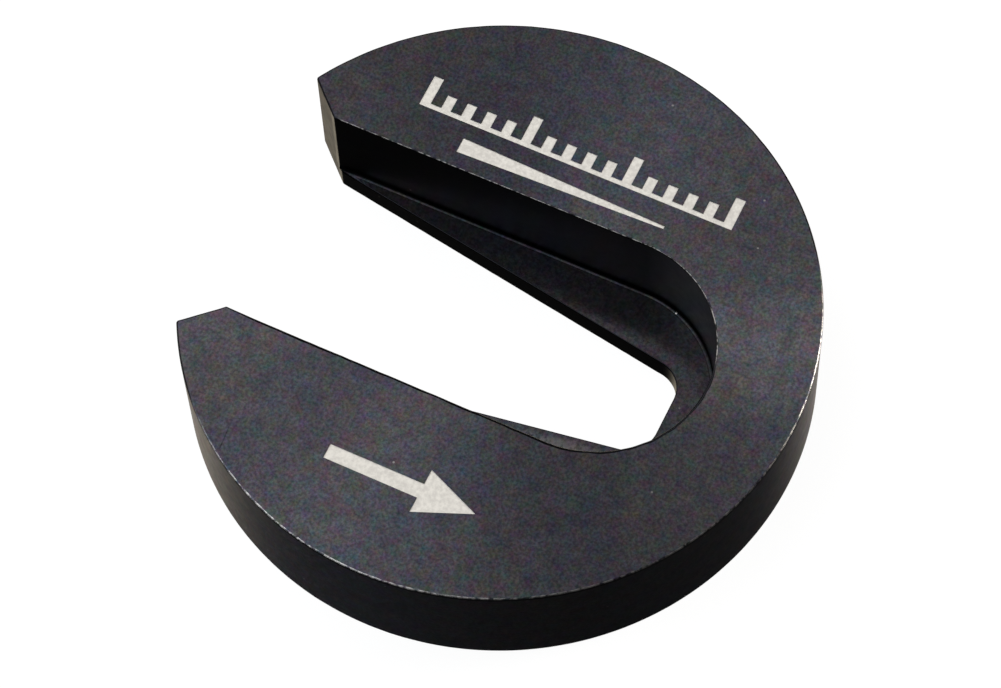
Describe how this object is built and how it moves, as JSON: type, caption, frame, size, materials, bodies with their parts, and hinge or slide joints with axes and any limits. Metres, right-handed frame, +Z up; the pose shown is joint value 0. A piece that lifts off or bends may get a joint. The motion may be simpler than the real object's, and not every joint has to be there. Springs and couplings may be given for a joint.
{
  "type": "case back opener",
  "caption": "Round horseshoe-shaped steel bench tool: a watch case slides into its stepped, tapered slot, and the thin lips along the slot prise the case back off.",
  "frame": {"origin": "on the disc's axis, in the plane of its flat underside; the point lies in the open slot, on the slot's centre line", "axes": "+Z up through the disc's thickness, towards the pocketed top face; +X along the slot towards its closed end, so that the mouth faces -X; +Y across the slot"},
  "size_m": [0.0563, 0.06, 0.012],
  "materials": {
    "blackened_steel": "satin"
  },
  "bodies": {
    "root": {"opener_body": "blackened_steel"}
  },
  "joints": []
}
